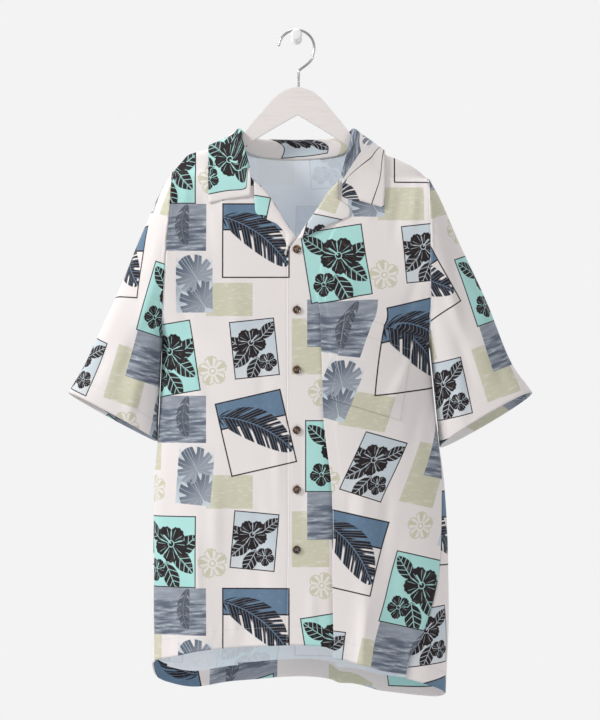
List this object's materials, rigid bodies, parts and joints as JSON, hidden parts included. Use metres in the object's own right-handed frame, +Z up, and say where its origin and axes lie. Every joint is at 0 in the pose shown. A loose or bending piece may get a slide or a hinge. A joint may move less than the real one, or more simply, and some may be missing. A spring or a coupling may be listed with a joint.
{
  "type": "hawaiian shirt on a hanger",
  "caption": "Short-sleeved printed camp-collar shirt, buttoned down the front, with a chest pocket, hanging on a wooden hanger whose steel hook rests on a round wall peg.",
  "frame": {"origin": "the inside of the hook's crown, where it bears on the peg", "axes": "+Z up, -Y out of the shirt's front, +Y towards the wall, +X the wearer's left"},
  "size_m": [0.667, 0.1308, 0.9637],
  "materials": {
    "shirting": "printed plain weave, matt",
    "button": "dark brown, polished",
    "hanger_wood": "pale stain, satin",
    "hook_steel": "plated",
    "peg_paint": "white, satin"
  },
  "bodies": {
    "root": {"right_front": "shirting", "left_front": "shirting", "back": "shirting", "right_sleeve": "shirting", "left_sleeve": "shirting", "collar": "shirting", "right_facing": "shirting", "left_facing": "shirting", "pocket": "shirting", "button_1": "button", "button_2": "button", "button_3": "button", "button_4": "button", "button_5": "button", "button_6": "button", "hanger_body": "hanger_wood", "hanger_hook": "hook_steel", "wall_peg": "peg_paint"}
  },
  "joints": []
}
